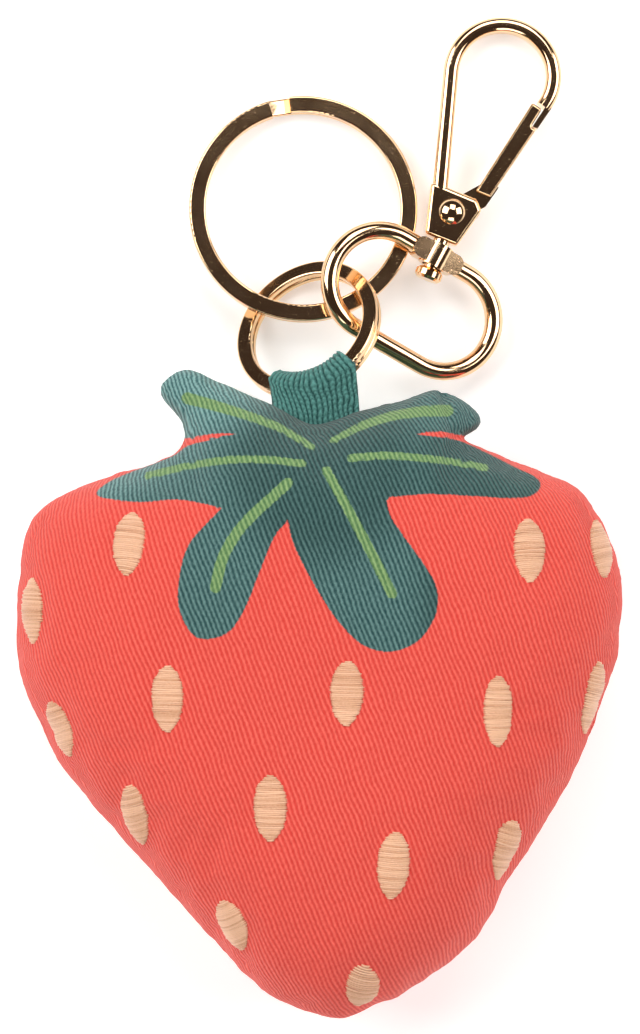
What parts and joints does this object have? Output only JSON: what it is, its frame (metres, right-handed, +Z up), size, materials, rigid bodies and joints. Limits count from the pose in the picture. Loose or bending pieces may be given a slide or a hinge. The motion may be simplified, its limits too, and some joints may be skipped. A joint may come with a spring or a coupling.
{
  "type": "strawberry bag charm",
  "caption": "Stuffed twill strawberry with embroidered seeds on a tape loop, linked to a split key ring and a swivel snap hook.",
  "frame": {"origin": "on the resting surface, under the middle of the whole object, with the strawberry lying on its back", "axes": "+X to the right seen from the printed front, +Y from the strawberry towards its metal hardware, +Z up out of the printed front"},
  "size_m": [0.0789, 0.1305, 0.0301],
  "materials": {
    "strawberry_twill": "coral red cotton twill with a printed green leaf crown",
    "seed_thread": "satin-stitched rayon thread",
    "loop_tape": "teal ribbed knitted tape",
    "polyester_fill": "loose polyester fibre filling",
    "gold_plate": "polished light gold plating",
    "spring_steel": "bright spring wire"
  },
  "bodies": {
    "strawberry": {"front_panel": "strawberry_twill", "back_panel": "strawberry_twill", "stuffing": "polyester_fill", "hanging_loop": "loop_tape", "seed_front_01": "seed_thread", "seed_front_02": "seed_thread", "seed_front_03": "seed_thread", "seed_front_04": "seed_thread", "seed_front_05": "seed_thread", "seed_front_06": "seed_thread", "seed_front_07": "seed_thread", "seed_front_08": "seed_thread", "seed_front_09": "seed_thread", "seed_front_10": "seed_thread", "seed_front_11": "seed_thread", "seed_front_12": "seed_thread", "seed_front_13": "seed_thread", "seed_front_14": "seed_thread", "seed_front_15": "seed_thread", "seed_back_01": "seed_thread", "seed_back_02": "seed_thread", "seed_back_03": "seed_thread", "seed_back_04": "seed_thread", "seed_back_05": "seed_thread", "seed_back_06": "seed_thread", "seed_back_07": "seed_thread", "seed_back_08": "seed_thread", "seed_back_09": "seed_thread"},
    "small_ring": {"small_split_ring": "gold_plate"},
    "large_ring": {"large_split_ring": "gold_plate"},
    "bow": {"clasp_bow": "gold_plate"},
    "hook": {"hook_body": "gold_plate", "swivel_post": "gold_plate", "gate_rivet": "gold_plate", "gate_spring": "spring_steel"},
    "gate": {"gate": "gold_plate"}
  },
  "joints": [
    {"name": "small_ring_swing", "type": "hinge", "parent": "strawberry", "child": "small_ring", "pos_m": [-0.00158, 0.01673, 0.01174], "axis": [0.9111, 0.2005, 0.3602], "range_deg": [-35, 70]},
    {"name": "large_ring_swing", "type": "hinge", "parent": "small_ring", "child": "large_ring", "pos_m": [0.00141, 0.03233, 0.00383], "axis": [0.8539, -0.0972, 0.5112], "range_deg": [-20, 0]},
    {"name": "bow_swing", "type": "hinge", "parent": "small_ring", "child": "bow", "pos_m": [0.00562, 0.03001, 0.00747], "axis": [0.4622, -0.6274, 0.6267], "range_deg": [-1, 25]},
    {"name": "hook_swivel", "type": "hinge", "parent": "bow", "child": "hook", "pos_m": [0.01518, 0.0342, 0.00486], "axis": [0.3649, 0.9263, -0.0941], "continuous": true},
    {"name": "gate_hinge", "type": "hinge", "parent": "hook", "child": "gate", "pos_m": [0.01727, 0.03991, 0.00429], "axis": [0.0345, 0.0876, 0.9956], "range_deg": [0, 22], "stiffness_Nm_per_rad": 0.01, "springref_deg": -14.32}
  ]
}
